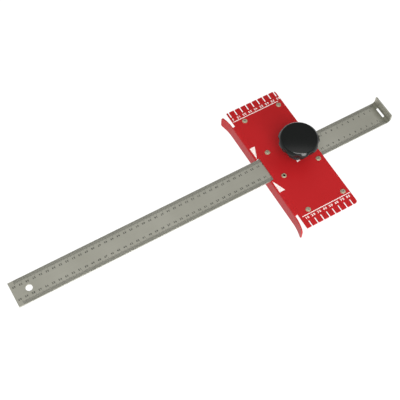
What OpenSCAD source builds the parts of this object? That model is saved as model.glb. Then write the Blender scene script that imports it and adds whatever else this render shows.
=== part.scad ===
// Drywall marking gauge: a sliding rule in a riveted sheet-steel head with a fence and a clamp knob.
// Millimetres. X runs from the fence face along the rule to its tab, Y along the fence, Z up.
// The origin is on the fence face, on the rule's centre line, level with the board that the sole rests on.

/* [Rule] */
// Length of the scale, from the blade slot to its last mark
scale_len = 600; // [450:10:1000]
// Plain end of the rule beyond the last mark
scale_margin = 8; // [5:1:20]
// Reading of the scale at the fence face, as the rule is set
reading = 208; // [160:1:360]
// Width of the rule
rule_w = 40; // [32:1:56]
// Thickness of the rule
rule_t = 2; // [1.5:0.1:3]
// Height of the turned-up tab above the rule's top face
tab_h = 14; // [10:1:25]
// Inner radius of the tab's bend
tab_bend_r = 5; // [3:0.5:8]
// Distance from the blade slot's centre line to the tab's inner face
tab_from_slot = 3; // [2:0.5:6]
// Corner radius of the tab's top edge
tab_corner_r = 1; // [0.5:0.5:4]
// Length of the blade slot, across the rule
blade_slot_len = 18; // [12:0.5:26]
// Width of the blade slot
blade_slot_w = 3.2; // [2:0.1:4.5]
// Diameter of the hanging hole
hang_d = 10; // [6:0.5:14]
// Distance of the hanging hole from the rule's plain end
hang_from_end = 23.5; // [15:0.5:40]

/* [Head plate] */
// Thickness of the steel sheet
sheet_t = 2; // [1.5:0.1:3]
// Length of the plate, along the fence
plate_len = 224; // [200:1:300]
// Width of the plate, from the fence face
plate_w = 89; // [84:0.5:120]
// Radius of the plate's outer corners
plate_corner_r = 4; // [1:0.5:8]
// Distance between neighbouring pencil notches
notch_pitch = 10; // [8:1:20]
// Width of a pencil notch
notch_w = 2; // [1.5:0.1:3]
// Length of a pencil notch
notch_len = 10; // [7:0.5:14]
// Distance of the first notch's marking edge from the fence face, on the far and the near end
first_notch = [5, 10]; // [4:1:12]
// Steel left between the last notch and the plate's side
notch_margin = 1.5; // [1.5:0.5:5]

/* [Fence] */
// Depth of the fence below the board's face
fence_depth = 17; // [12:0.5:25]
// Inner radius of the fold
fold_r = 2.5; // [1.5:0.1:3]
// Length of the free, flared end of the fence
relief_len = 26; // [18:1:30]
// How far the tip of a free end flares out
flare = 4.5; // [2:0.5:8]
// Radius of the free end's corners
flare_corner_r = 4; // [1:0.5:5]
// Set-back of the plate's notched ends from the fence face
end_inset = 2.4; // [1:0.1:3]
// Depth of the rule's window, from the fence face into the plate
window_depth = 4; // [3:0.5:8]
// Play round the rule in its window
window_play = 0.6; // [0.4:0.1:1]

/* [Sole and rivets] */
// Thickness of the glide sole
sole_t = 4; // [3.5:0.1:6]
// Set-back of the sole from the fence face and from the plate's side
sole_inset = 3; // [2:0.5:6]
// Gap between the sole's end and the notches
sole_end_gap = 5; // [3:0.5:10]
// Radius of the sole's corners
sole_corner_r = 4; // [1:0.5:6]
// Vertical play of the rule above and below
rule_play = 0.2; // [0.15:0.05:0.4]
// Play between the rule's edge and a guide bush
guide_play = 0.2; // [0.15:0.05:0.4]
// Distance of the first rivets from the fence face
rivet_first = 20; // [14:1:26]
// Distance of the last rivets from the plate's side
rivet_side = 9; // [6:0.5:14]
// Distance of the end rivets from the plate's ends
rivet_end = 25; // [22:0.5:40]
// Shank diameter of a blind rivet
rivet_d = 4; // [3.2:0.1:4.4]
// Head diameter of a rivet
rivet_head_d = 8; // [6.5:0.1:9.5]
// Head height of a rivet
rivet_head_h = 1.4; // [1:0.1:2]
// Diameter of a rivet's set tail
tail_d = 6.4; // [5.6:0.1:7]
// Height of a rivet's set tail
tail_h = 1.3; // [0.8:0.1:1.4]
// Diameter of the pin left in a rivet
mandrel_d = 2.1; // [1.6:0.1:2.2]
// Depth of the pin below the top of the rivet's head
mandrel_recess = 0.7; // [0.4:0.1:1]
// Diameter and height of the pin's head under the tail
mandrel_head = [4.2, 0.7]; // [0.5:0.1:6]
// Play of a rivet in its hole, and of a pin in its rivet
hole_play = 0.05; // [0.03:0.01:0.1]
// Diameter and depth of the pocket for a tail in the sole
pocket = [8, 2.2]; // [2.2:0.1:9]
// Outer diameter of a guide bush
bush_d = 5.2; // [5:0.1:6]
// Outer diameter of an end spacer
spacer_d = 9; // [7:0.5:12]

/* [Clamp] */
// Distance of the clamp screw from the fence face
clamp_x = 55.5; // [44:0.5:57]
// Diameter of the clamp screw
screw_d = 8; // [6:0.5:8]
// Rise of the screw in one turn
screw_pitch = 1.25; // [1:0.05:1.5]
// Turns from clamped to fully released
screw_turns = 2; // [1:0.5:3]
// Play of the screw in the boss
screw_play = 0.05; // [0.03:0.01:0.1]
// Diameter of the pressure pad
pad_d = 10; // [9:0.5:12]
// Thickness of the pressure pad
pad_t = 3.5; // [3:0.1:5]
// Play of the pad in its bore
pad_play = 0.1; // [0.05:0.01:0.1]
// Gap between the pad and the rule with the clamp just released
pad_gap = 0.1; // [0.05:0.05:0.3]
// Diameter and length of the screw's tip in the pad
spigot = [5, 2]; // [1:0.5:6]
// Gap between the screw's shoulder and the pad
seat_play = 0.05; // [0.03:0.01:0.1]
// Diameter of the boss's foot and of its neck
boss_d = [22, 15]; // [14:0.5:26]
// Height of the boss's foot
boss_foot_h = 3; // [2:0.5:4]
// Height of the boss above the plate
boss_h = 11; // [10:0.5:14]

/* [Knob] */
// Diameter of the knob across its lobes
knob_d = 60.5; // [52:0.5:66]
// Diameter of the skirt's lower edge
skirt_d = 48; // [44:0.5:56]
// Gap between the knob's hub and the boss
knob_gap = 2.6; // [1:0.1:5]
// Height of the skirt's lower edge above the hub's
skirt_rise = 8.5; // [4:0.5:12]
// Height of the rim above the hub's lower end
rim_rise = 24.5; // [20:0.5:30]
// Radius of the rim's round edge
rim_r = 5; // [3:0.5:6]
// Height of the straight band below the rim's round edge
rim_band = 1; // [0.5:0.1:2]
// Diameter of the domed top
dome_d = 47; // [38:0.5:50]
// Rise of the domed top above the rim
dome_h = 1.5; // [1:0.1:4]
// Number of lobes
lobes = 9; // [6:1:10]
// Angle of the first lobe from the rule's direction, as the knob is set
lobe_start = 13; // [0:1:90]
// Radius of the flutes between the lobes
flute_r = 12; // [9:0.5:18]
// Depth of a flute at the rim and at the skirt's lower edge
flute_depth = [1.2, 4]; // [0.5:0.1:5]
// Wall of the skirt behind a flute
knob_wall = 2.2; // [1.5:0.1:3]
// Diameter of the hub
hub_d = 20; // [18:0.5:24]
// Thickness of a rib
rib_t = 2; // [1.5:0.1:3]
// Set-back of the ribs from the skirt's lower edge
rib_setback = 3; // [1:0.5:6]
// Height of the hub below the screw's anchor
anchor_rise = 9; // [6:0.5:11]
// Width across flats and height of the screw's hexagon anchor
anchor = [13, 5.5]; // [4:0.5:13]

/* [Hidden] */
$fn = 64;
// Overshoot of a cutting tool
cut = 1;

// Levels, from the board up
rule_z = sole_t + rule_play;
rule_top = rule_z + rule_t;
plate_z = rule_top + rule_play;
plate_top = plate_z + sheet_t;

// Rule
rule_left = reading - scale_len - scale_margin;
tab_x = reading + tab_from_slot;
bend_x = tab_x - tab_bend_r;
hang_x = rule_left + hang_from_end;

// Fence
free_y = plate_len / 2 - relief_len;
flange_top = plate_z - fold_r;
flange_h = flange_top + fence_depth;
flare_r = (relief_len * relief_len + flare * flare) / (2 * flare);
flare_angle = asin(relief_len / flare_r);

// Sole
sole_w = plate_w - 2 * sole_inset;
sole_len = plate_len - 2 * (notch_len + sole_end_gap);

// Rivets: the guide bushes run along the rule's edges
rivet_columns = [rivet_first, plate_w - rivet_side];
end_rivet_y = plate_len / 2 - rivet_end;
guide_y = rule_w / 2 + guide_play + bush_d / 2;
guide_spots = [for (x = rivet_columns, s = [1, -1]) [x, s * guide_y]];
end_spots = [for (x = rivet_columns, s = [1, -1]) [x, s * end_rivet_y]];
// The guide rivet beside the window, on the near half, has lost its pin
open_spot = guide_spots[1];
rivet_hole_d = rivet_d + 2 * hole_play;
pin_bore_d = mandrel_d + 2 * hole_play;

// Clamp
pad_z = rule_top + pad_gap;
pad_top = pad_z + pad_t;
pad_lift = screw_pitch * screw_turns;
pad_room_top = pad_top + pad_lift + seat_play + pad_gap;
pad_bore_d = pad_d + 2 * pad_play;
boss_top = plate_top + boss_h;

// Knob
hub_z = boss_top + knob_gap;
skirt_z = hub_z + skirt_rise;
rim_z = hub_z + rim_rise;
rim_top = rim_z + rim_r;
rim_centre_r = knob_d / 2 - rim_r;
dome_r = (dome_d * dome_d / 4 + dome_h * dome_h) / (2 * dome_h);
hollow_top = rim_z - knob_wall;
anchor_z = hub_z + anchor_rise;
lobe_angle = 360 / lobes;
// Lean of the flutes, and distance of a flute's axis from the knob's at the skirt's lower edge
flute_run = (knob_d - skirt_d) / 2 + flute_depth[1] - flute_depth[0];
flute_tilt = atan(flute_run / (rim_z - skirt_z));
flute_axis = skirt_d / 2 - flute_depth[1] + flute_r / cos(flute_tilt);
hollow_r = [skirt_d / 2 - flute_depth[1] - knob_wall, knob_d / 2 - flute_depth[0] - knob_wall - rim_r];

red_paint = [0.72, 0.11, 0.13];
satin_steel = [0.6, 0.6, 0.56];
pale_aluminium = [0.75, 0.73, 0.66];
zinc_steel = [0.62, 0.64, 0.66];
brass = [0.78, 0.6, 0.3];
black_plastic = [0.1, 0.1, 0.1];
dark_plastic = [0.2, 0.2, 0.21];

// The waste outside a rounded corner at the origin, for a part that lies towards -X and -Y
module corner_waste(r) {
    difference() {
        translate([-r, -r])
            square(r + cut);
        translate([-r, -r])
            circle(r);
        translate([-2 * r, -2 * r])
            square([2 * r, r]);
        translate([-2 * r, -2 * r])
            square([r, 2 * r]);
    }
}

// A quarter of a bent sheet, from below round to the right of its centre
module bend_section(r, t) {
    intersection() {
        difference() {
            circle(r + t);
            circle(r);
        }
        translate([0, -r - t])
            square(r + t);
    }
}

// Stands a drawing in X and Z up along Y, centred
module along_y(len) {
    translate([0, len / 2, 0])
        rotate([90, 0, 0])
            linear_extrude(len)
                children();
}

module plate_outline() {
    difference() {
        union() {
            translate([fold_r, -free_y])
                square([plate_w - fold_r, 2 * free_y]);
            for (m = [0, 1])
                mirror([0, m])
                    translate([end_inset, free_y])
                        square([plate_w - end_inset, relief_len]);
        }
        for (m = [0, 1])
            mirror([0, m])
                translate([plate_w, plate_len / 2])
                    corner_waste(plate_corner_r);
        for (m = [0, 1])
            mirror([0, m])
                notch_row(first_notch[m]);
    }
}

// A row of round-ended notches, open at the plate's far end
module notch_row(first) {
    for (x = [first + notch_w / 2 : notch_pitch : plate_w - notch_margin - notch_w / 2])
        translate([x, plate_len / 2 - notch_len + notch_w / 2]) {
            circle(d = notch_w);
            translate([-notch_w / 2, 0])
                square([notch_w, notch_len]);
        }
}

// The fold and the straight part of the fence
module fold() {
    along_y(2 * free_y) {
        translate([-sheet_t, -fence_depth])
            square([sheet_t, flange_h]);
        translate([fold_r, flange_top])
            mirror([1, 0])
                mirror([0, 1])
                    bend_section(fold_r, sheet_t);
    }
}

// The free end of the fence, curled outwards, with rounded corners
module flared_end() {
    intersection() {
        translate([-flare_r, free_y, -fence_depth])
            rotate_extrude(angle = flare_angle, $fn = 256)
                translate([flare_r - sheet_t, 0])
                    square([sheet_t, flange_h]);
        rotate([90, 0, 90])
            translate([0, 0, -flare_r])
                linear_extrude(2 * flare_r)
                    difference() {
                        translate([free_y, -fence_depth])
                            square([relief_len, flange_h]);
                        translate([plate_len / 2, flange_top])
                            corner_waste(flare_corner_r);
                        translate([plate_len / 2, -fence_depth])
                            mirror([0, 1])
                                corner_waste(flare_corner_r);
                    }
    }
}

// The opening that lets the rule through the fold
module rule_window() {
    half = rule_w / 2 + window_play;
    translate([-sheet_t - cut, -half, rule_z - window_play])
        cube([window_depth + sheet_t + cut, 2 * half, plate_top + cut]);
}

module fence_plate() {
    color(red_paint)
        difference() {
            union() {
                translate([0, 0, plate_z])
                    linear_extrude(sheet_t)
                        plate_outline();
                fold();
                for (m = [0, 1])
                    mirror([0, m, 0])
                        flared_end();
            }
            rule_window();
            for (spot = concat(guide_spots, end_spots))
                translate([spot[0], spot[1], plate_z - cut])
                    cylinder(d = rivet_hole_d, h = sheet_t + 2 * cut);
            translate([clamp_x, 0, plate_z - cut])
                cylinder(d = pad_bore_d, h = sheet_t + 2 * cut);
        }
}

module sole_outline() {
    difference() {
        translate([sole_inset, -sole_len / 2])
            square([sole_w, sole_len]);
        for (m = [0, 1])
            mirror([0, m]) {
                translate([sole_inset + sole_w, sole_len / 2])
                    corner_waste(sole_corner_r);
                translate([sole_inset, sole_len / 2])
                    mirror([1, 0])
                        corner_waste(sole_corner_r);
            }
    }
}

module glide_sole() {
    color(dark_plastic)
        difference() {
            linear_extrude(sole_t)
                sole_outline();
            for (spot = concat(guide_spots, end_spots))
                translate([spot[0], spot[1], -cut]) {
                    cylinder(d = rivet_hole_d, h = sole_t + 2 * cut);
                    cylinder(d = pocket[0], h = pocket[1] + cut);
                }
        }
}

// A blind rivet: domed head on the plate, shank, and tail set in the sole's pocket
module blind_rivet() {
    head_r = (rivet_head_d * rivet_head_d / 4 + rivet_head_h * rivet_head_h) / (2 * rivet_head_h);
    difference() {
        union() {
            intersection() {
                translate([0, 0, plate_top + rivet_head_h - head_r])
                    sphere(head_r);
                translate([0, 0, plate_top])
                    cylinder(d = rivet_head_d + cut, h = rivet_head_h + cut);
            }
            translate([0, 0, pocket[1]])
                cylinder(d = rivet_d, h = plate_top - pocket[1]);
            translate([0, 0, pocket[1] - tail_h])
                cylinder(d = tail_d, h = tail_h);
        }
        translate([0, 0, pocket[1] - tail_h - cut])
            cylinder(d = pin_bore_d, h = plate_top + rivet_head_h + 2 * cut);
    }
}

module rivets_at(spots) {
    color(pale_aluminium)
        for (spot = spots)
            translate([spot[0], spot[1], 0])
                blind_rivet();
}

// The broken-off pins that stay in the rivets
module rivet_pins() {
    tail_z = pocket[1] - tail_h;
    color(zinc_steel)
        for (spot = concat(guide_spots, end_spots))
            if (spot != open_spot)
                translate([spot[0], spot[1], tail_z]) {
                    cylinder(d = mandrel_d, h = plate_top + rivet_head_h - mandrel_recess - tail_z);
                    translate([0, 0, -mandrel_head[1]])
                        cylinder(d = mandrel_head[0], h = mandrel_head[1]);
                }
}

// A distance ring between the sole and the plate
module ring_at(spot, outer_d) {
    color(zinc_steel)
        translate([spot[0], spot[1], sole_t])
            difference() {
                cylinder(d = outer_d, h = plate_z - sole_t);
                translate([0, 0, -cut])
                    cylinder(d = rivet_hole_d, h = plate_z - sole_t + 2 * cut);
            }
}

module rule() {
    color(satin_steel)
        difference() {
            union() {
                along_y(rule_w) {
                    translate([rule_left, rule_z])
                        square([bend_x - rule_left, rule_t]);
                    translate([bend_x, rule_top + tab_bend_r])
                        bend_section(tab_bend_r, rule_t);
                }
                tab_wall();
            }
            translate([reading - blade_slot_w / 2, -blade_slot_len / 2, rule_z - cut])
                cube([blade_slot_w, blade_slot_len, tab_bend_r + cut]);
            translate([hang_x, 0, rule_z - cut])
                cylinder(d = hang_d, h = rule_t + 2 * cut);
        }
}

// The upright part of the tab, with its top corners rounded
module tab_wall() {
    wall_z = rule_top + tab_bend_r;
    translate([tab_x, 0, 0])
        rotate([90, 0, 90])
            linear_extrude(rule_t)
                difference() {
                    translate([-rule_w / 2, wall_z])
                        square([rule_w, rule_top + tab_h - wall_z]);
                    for (m = [0, 1])
                        mirror([m, 0])
                            translate([rule_w / 2, rule_top + tab_h])
                                corner_waste(tab_corner_r);
                }
}

// The threaded boss on the plate, with room for the pad below its thread
module clamp_boss() {
    color(zinc_steel)
        translate([clamp_x, 0, plate_top])
            difference() {
                union() {
                    cylinder(d = boss_d[0], h = boss_foot_h);
                    cylinder(d = boss_d[1], h = boss_h);
                }
                translate([0, 0, -cut])
                    cylinder(d = pad_bore_d, h = pad_room_top - plate_top + cut);
                cylinder(d = screw_d + 2 * screw_play, h = boss_h + cut);
            }
}

module pressure_pad() {
    color(brass)
        translate([clamp_x, 0, pad_z])
            difference() {
                cylinder(d = pad_d, h = pad_t);
                translate([0, 0, pad_t - spigot[1] - seat_play])
                    cylinder(d = spigot[0] + 2 * screw_play, h = spigot[1] + seat_play + cut);
            }
}

module screw_body() {
    shoulder_z = pad_top + seat_play;
    translate([clamp_x, 0, 0]) {
        translate([0, 0, shoulder_z - spigot[1]])
            cylinder(d = spigot[0], h = spigot[1]);
        translate([0, 0, shoulder_z])
            cylinder(d = screw_d, h = anchor_z - shoulder_z);
        translate([0, 0, anchor_z])
            cylinder(d = anchor[0] / cos(30), h = anchor[1], $fn = 6);
    }
}

module clamp_screw() {
    color(zinc_steel)
        screw_body();
}

// Half the knob's section: tapered skirt, round rim and domed top
module knob_section() {
    difference() {
        polygon([[0, skirt_z], [skirt_d / 2, skirt_z], [knob_d / 2, rim_z - rim_band], [knob_d / 2, rim_top],
            [0, rim_top]]);
        translate([knob_d / 2, rim_top])
            corner_waste(rim_r);
    }
    intersection() {
        translate([0, rim_top + dome_h - dome_r])
            circle(dome_r, $fn = 256);
        translate([0, rim_top - dome_h])
            square([rim_centre_r, 2 * dome_h + cut]);
    }
}

// One flute, leaning with the skirt and deepening towards its lower edge
module flute() {
    reach = rim_top + dome_h - skirt_z;
    translate([flute_axis, 0, skirt_z])
        rotate([0, flute_tilt, 0])
            translate([0, 0, -reach])
                cylinder(r = flute_r, h = 3 * reach);
}

// One rib inside the knob, from the hub to the skirt, let into the skirt and the top by half a wall
module rib() {
    rib_z = skirt_z + rib_setback;
    bury = knob_wall / 2;
    low_r = hollow_r[0] + (hollow_r[1] - hollow_r[0]) * rib_setback / (hollow_top - skirt_z) + bury;
    high_r = hollow_r[1] + bury;
    translate([0, rib_t / 2, 0])
        rotate([90, 0, 0])
            linear_extrude(rib_t)
                polygon([[0, rib_z], [low_r, rib_z], [high_r, hollow_top], [high_r, hollow_top + bury],
                    [0, hollow_top + bury]]);
}

module knob() {
    color(black_plastic)
        difference() {
            translate([clamp_x, 0, 0]) {
                difference() {
                    rotate_extrude()
                        knob_section();
                    for (i = [1 : lobes])
                        rotate([0, 0, lobe_start + (i + 0.5) * lobe_angle])
                            flute();
                    translate([0, 0, skirt_z - cut])
                        cylinder(r1 = hollow_r[0], r2 = hollow_r[1], h = hollow_top - skirt_z + cut);
                }
                translate([0, 0, hub_z])
                    cylinder(d = hub_d, h = rim_z - hub_z);
                for (i = [1 : lobes])
                    rotate([0, 0, lobe_start + (i + 0.5) * lobe_angle])
                        rib();
            }
            screw_body();
        }
}

fence_plate();
glide_sole();
rivets_at(guide_spots);  // guide_rivets
rivets_at(end_spots);  // end_rivets
rivet_pins();
ring_at(guide_spots[0], bush_d);  // guide_bush_1
ring_at(guide_spots[1], bush_d);  // guide_bush_2
ring_at(guide_spots[2], bush_d);  // guide_bush_3
ring_at(guide_spots[3], bush_d);  // guide_bush_4
ring_at(end_spots[0], spacer_d);  // end_spacer_1
ring_at(end_spots[1], spacer_d);  // end_spacer_2
ring_at(end_spots[2], spacer_d);  // end_spacer_3
ring_at(end_spots[3], spacer_d);  // end_spacer_4
rule();
clamp_boss();
pressure_pad();
clamp_screw();
knob();
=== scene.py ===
from functools import partial
import bmesh
import bpy
import numpy as np
from mathutils import Matrix, Vector
from mathutils.geometry import delaunay_2d_cdt


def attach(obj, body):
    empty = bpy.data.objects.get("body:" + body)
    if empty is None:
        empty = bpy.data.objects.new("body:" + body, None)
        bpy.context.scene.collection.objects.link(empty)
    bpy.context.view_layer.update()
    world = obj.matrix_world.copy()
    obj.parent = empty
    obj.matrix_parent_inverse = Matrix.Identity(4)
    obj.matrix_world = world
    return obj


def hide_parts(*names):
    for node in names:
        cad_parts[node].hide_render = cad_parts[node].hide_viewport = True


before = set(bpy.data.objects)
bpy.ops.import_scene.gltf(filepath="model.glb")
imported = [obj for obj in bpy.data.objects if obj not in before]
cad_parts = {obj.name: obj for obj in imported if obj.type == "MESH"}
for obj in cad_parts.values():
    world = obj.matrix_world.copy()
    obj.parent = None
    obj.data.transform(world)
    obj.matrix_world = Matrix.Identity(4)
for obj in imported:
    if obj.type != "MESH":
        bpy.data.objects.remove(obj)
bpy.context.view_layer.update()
scene = bpy.context.scene
print("frame loaded:", len(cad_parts), "nodes")

mm = 0.001  # all forms below are worked out in millimetres
levels = {"fenceFoot": -17.0, "ruleBase": 4.2, "ruleTop": 6.2, "plateBase": 6.4, "plateTop": 8.4}
rivetSpots = {"guide": [(20, 22.8), (20, -22.8), (80, 22.8), (80, -22.8)],
              "end": [(20, 87), (20, -87), (80, 87), (80, -87)]}
allRivets = rivetSpots["guide"] + rivetSpots["end"]
openRivet = (20, -22.8)  # this one has lost its pin
clampX = 55.5

# camera

shot = {"turn": 31.60, "rise": 60.81, "roll": 1.81, "distance": 1350.47, "aim": (-104.90, 5.32, 2.0),
        "lens": 84.42, "sensor": 36}


def placeCamera():
    # looks along the turn and down by the rise, then rolls about its own axis
    turn, rise, roll = np.radians([shot["turn"], shot["rise"], shot["roll"]])
    right = np.array([np.cos(turn), -np.sin(turn), 0])
    ahead = np.array([np.sin(turn), np.cos(turn), 0])
    upright = np.array([0, 0, 1])
    back = upright * np.sin(rise) - ahead * np.cos(rise)
    up = ahead * np.sin(rise) + upright * np.cos(rise)
    axes = np.eye(4)
    axes[:3, 0] = np.cos(roll) * right + np.sin(roll) * up
    axes[:3, 1] = np.cos(roll) * up - np.sin(roll) * right
    axes[:3, 2] = back
    axes[:3, 3] = (np.array(shot["aim"]) + back * shot["distance"]) * mm
    lens = bpy.data.cameras.new("benchCamera")
    lens.sensor_width = shot["sensor"]
    lens.lens = shot["lens"]
    holder = bpy.data.objects.new("benchCamera", lens)
    scene.collection.objects.link(holder)
    holder.matrix_world = Matrix(axes.tolist())
    scene.camera = holder


placeCamera()
scene.view_settings.view_transform = "Standard"  # colours come out as they are mixed
print("camera placed")

# materials

# sockets of a Mix node: its factor, its two colours and the colour that comes out, its two plain numbers
mixBy, fromColour, toColour, colourOut, fromNumber, toNumber = 0, 6, 7, 2, 2, 3


def linear(hexColour):
    # sRGB to linear: a straight line near black, a power of 2.4 above it
    part = np.array([int(hexColour[i:i + 2], 16) for i in (1, 3, 5)]) / 255
    part = np.where(part <= 0.04045, part / 12.92, ((part + 0.055) / 1.055) ** 2.4)
    return (*part.tolist(), 1.0)


def perMetre(size):
    # noise scale whose lumps are about this many millimetres across
    return 1 / (size * mm)


def addNode(tree, kind, settings=None, links=None):
    # a setting is a property of the node, or else the value of an input, by its name or its place
    node = tree.nodes.new("ShaderNode" + kind)
    for name, value in (settings or {}).items():
        if isinstance(name, str) and hasattr(node, name):
            setattr(node, name, value)
        else:
            node.inputs[name].default_value = value
    # a link comes from a socket, or from a node's first output
    for name, source in (links or {}).items():
        tree.links.new(getattr(source, "outputs", [source])[0], node.inputs[name])
    return node


def mixMaterial(name, recipe, *values):
    # a recipe adds its nodes, from the Object coordinates on, and gives back its shader's settings and links
    made = bpy.data.materials.new(name)
    made.use_nodes = True
    tree = made.node_tree
    tree.nodes.clear()
    add = partial(addNode, tree)
    settings, links = recipe(add, add("TexCoord").outputs["Object"], *values)
    add("OutputMaterial", links={"Surface": add("BsdfPrincipled", settings, links)})
    return made


def redEnamel(add, place):
    # stoved enamel on steel sheet: strong even red, half gloss, faint orange peel, paler where edges rub
    cloud = add("TexNoise", {"Scale": perMetre(55), "Detail": 2.0}, {"Vector": place})
    peel = add("TexNoise", {"Scale": perMetre(1.4), "Detail": 2.0}, {"Vector": place})
    rub = add("TexNoise", {"Scale": perMetre(5), "Detail": 4.0}, {"Vector": place})
    edge = add("Attribute", {"attribute_name": "mask"})
    worn = add("Math", {"operation": "MULTIPLY"}, {0: edge.outputs["Fac"], 1: rub})
    wornPart = add("MapRange", {"From Min": 0.25, "From Max": 0.7, "To Max": 0.55}, {"Value": worn})
    body = add("Mix", {"data_type": "RGBA", fromColour: linear("#AE1A1D"), toColour: linear("#B91F23")}, {mixBy: cloud})
    coat = add("Mix", {"data_type": "RGBA", toColour: linear("#CC5A55")},
               {mixBy: wornPart, fromColour: body.outputs[colourOut]})
    gloss = add("MapRange", {"To Min": 0.36, "To Max": 0.48}, {"Value": cloud})
    relief = add("Bump", {"Strength": 0.12, "Distance": 0.06 * mm}, {"Height": peel})
    return ({"IOR": 1.5, "Specular IOR Level": 0.18},
            {"Base Color": coat.outputs[colourOut], "Roughness": gloss, "Normal": relief})


def satinSteel(add, place):
    # stainless strip, satin ground along its length: soft grey with long fine streaks, a few dull clouds,
    # and painted shade: a dark olive band on the bend
    along = add("Mapping", {"Scale": (0.02, 1.0, 1.0)}, {"Vector": place})
    # real grinding lines are 0.1 mm apart; drawn 0.9 mm apart so that they show
    streak = add("TexNoise", {"Scale": perMetre(0.9), "Detail": 3.0}, {"Vector": along})
    cloud = add("TexNoise", {"Scale": perMetre(70), "Detail": 3.0}, {"Vector": place})
    mixed = add("Math", {"operation": "MULTIPLY_ADD", 1: 0.5}, {0: streak, 2: cloud})
    shade = add("MapRange", {"From Min": 0.4, "From Max": 1.1}, {"Value": mixed})
    tint = add("Mix", {"data_type": "RGBA", fromColour: linear("#B0AFA2"), toColour: linear("#C1C0B4")}, {mixBy: shade})
    # painted shade: the mask marks the rule's bend, where the steel is darkened towards olive
    bendShadeMask = add("Attribute", {"attribute_name": "mask"})
    bendShadeShare = add("Math", {"operation": "MULTIPLY", 1: 0.6}, {0: bendShadeMask.outputs["Fac"]})
    whole = add("Mix", {"data_type": "RGBA", toColour: linear("#4C4C38")},
                {mixBy: bendShadeShare, fromColour: tint.outputs[colourOut]})
    gloss = add("MapRange", {"To Min": 0.5, "To Max": 0.62}, {"Value": streak})
    relief = add("Bump", {"Strength": 0.1, "Distance": 0.03 * mm}, {"Height": streak})
    return {"Metallic": 0.85}, {"Base Color": whole.outputs[colourOut], "Roughness": gloss, "Normal": relief}


def etchedInk(add, place):
    # marks etched into the steel and filled with black: matt, a little worn to grey
    wear = add("TexNoise", {"Scale": perMetre(6), "Detail": 4.0}, {"Vector": place})
    tint = add("Mix", {"data_type": "RGBA", fromColour: linear("#2E2F2B"), toColour: linear("#45463F")}, {mixBy: wear})
    return {"Roughness": 0.75}, {"Base Color": tint.outputs[colourOut]}


def whiteInk(add, place):
    # screen-printed white ink on enamel: thin, matt, the red just shows through its pinholes
    grain = add("TexNoise", {"Scale": perMetre(0.8), "Detail": 3.0}, {"Vector": place})
    thin = add("MapRange", {"From Min": 0.35, "From Max": 0.65}, {"Value": grain})
    tint = add("Mix", {"data_type": "RGBA", fromColour: linear("#F4DAD4"), toColour: linear("#FBF4F0")}, {mixBy: thin})
    return {"Roughness": 0.6}, {"Base Color": tint.outputs[colourOut]}


def knobPlastic(add, place):
    # moulded black thermoset: deep black, glossy crown, matt grip below the rim, fine even texture of the mould
    # mould texture is 0.1 mm; drawn 0.7 mm so that it shows
    spark = add("TexNoise", {"Scale": perMetre(0.7), "Detail": 3.0}, {"Vector": place})
    cloud = add("TexNoise", {"Scale": perMetre(18), "Detail": 2.0}, {"Vector": place})
    tint = add("Mix", {"data_type": "RGBA", fromColour: linear("#090B0A"), toColour: linear("#0F1211")}, {mixBy: cloud})
    grip = add("Attribute", {"attribute_name": "mask"})
    polish = add("MapRange", {"To Min": 0.1, "To Max": 0.18}, {"Value": spark})
    gloss = add("Mix", {"data_type": "FLOAT", toNumber: 0.8}, {mixBy: grip.outputs["Fac"], fromNumber: polish})
    relief = add("Bump", {"Strength": 0.03, "Distance": 0.03 * mm}, {"Height": spark})
    return {"IOR": 1.5}, {"Base Color": tint.outputs[colourOut], "Roughness": gloss, "Normal": relief}


def rivetAluminium(add, place):
    # plain aluminium rivet: dull warm grey, pressed smooth, with oxide patches, and its bore painted near black as
    # shade
    oxide = add("TexNoise", {"Scale": perMetre(2.2), "Detail": 4.0}, {"Vector": place})
    tint = add("Mix", {"data_type": "RGBA", fromColour: linear("#9A8F78"), toColour: linear("#B4A98F")}, {mixBy: oxide})
    # painted shade: the mask marks the bore, which is darkened to near black
    boreShadeMask = add("Attribute", {"attribute_name": "mask"})
    dark = add("Mix", {"data_type": "RGBA", toColour: linear("#0E0C0A")},
               {mixBy: boreShadeMask.outputs["Fac"], fromColour: tint.outputs[colourOut]})
    gloss = add("MapRange", {"To Min": 0.6, "To Max": 0.75}, {"Value": oxide})
    relief = add("Bump", {"Strength": 0.15, "Distance": 0.05 * mm}, {"Height": oxide})
    return {"Metallic": 0.35}, {"Base Color": dark.outputs[colourOut], "Roughness": gloss, "Normal": relief}


def zincSteel(add, place, low, high, smooth, dull):
    # turned steel with a zinc coat: cool grey, small crystals of slightly different tone
    crystal = add("TexVoronoi", {"Scale": perMetre(1.2)}, {"Vector": place})
    cell = add("SeparateColor", links={"Color": crystal.outputs["Color"]})
    tint = add("Mix", {"data_type": "RGBA", fromColour: linear(low), toColour: linear(high)},
               {mixBy: cell.outputs["Red"]})
    gloss = add("MapRange", {"To Min": smooth, "To Max": dull}, {"Value": cell.outputs["Green"]})
    return {"Metallic": 1.0}, {"Base Color": tint.outputs[colourOut], "Roughness": gloss}


def turnedBrass(add, place):
    # brass faced on a lathe: warm yellow with rings from the tool round the clamp's axis
    centred = add("Mapping", {"Location": (-clampX * mm, 0, 0)}, {"Vector": place})
    # tool marks are 0.15 mm apart; drawn about 3 mm apart, as a ring is 2 pi / 20 of the wave's own unit
    ring = add("TexWave", {"wave_type": "RINGS", "rings_direction": "Z", "Scale": perMetre(0.5) / 20,
                           "Distortion": 0.4}, {"Vector": centred})
    tint = add("Mix", {"data_type": "RGBA", fromColour: linear("#B48A3C"), toColour: linear("#D2AB5C")},
               {mixBy: ring.outputs["Fac"]})
    relief = add("Bump", {"Strength": 0.2, "Distance": 0.04 * mm}, {"Height": ring.outputs["Fac"]})
    return {"Metallic": 1.0, "Roughness": 0.32}, {"Base Color": tint.outputs[colourOut], "Normal": relief}


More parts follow.
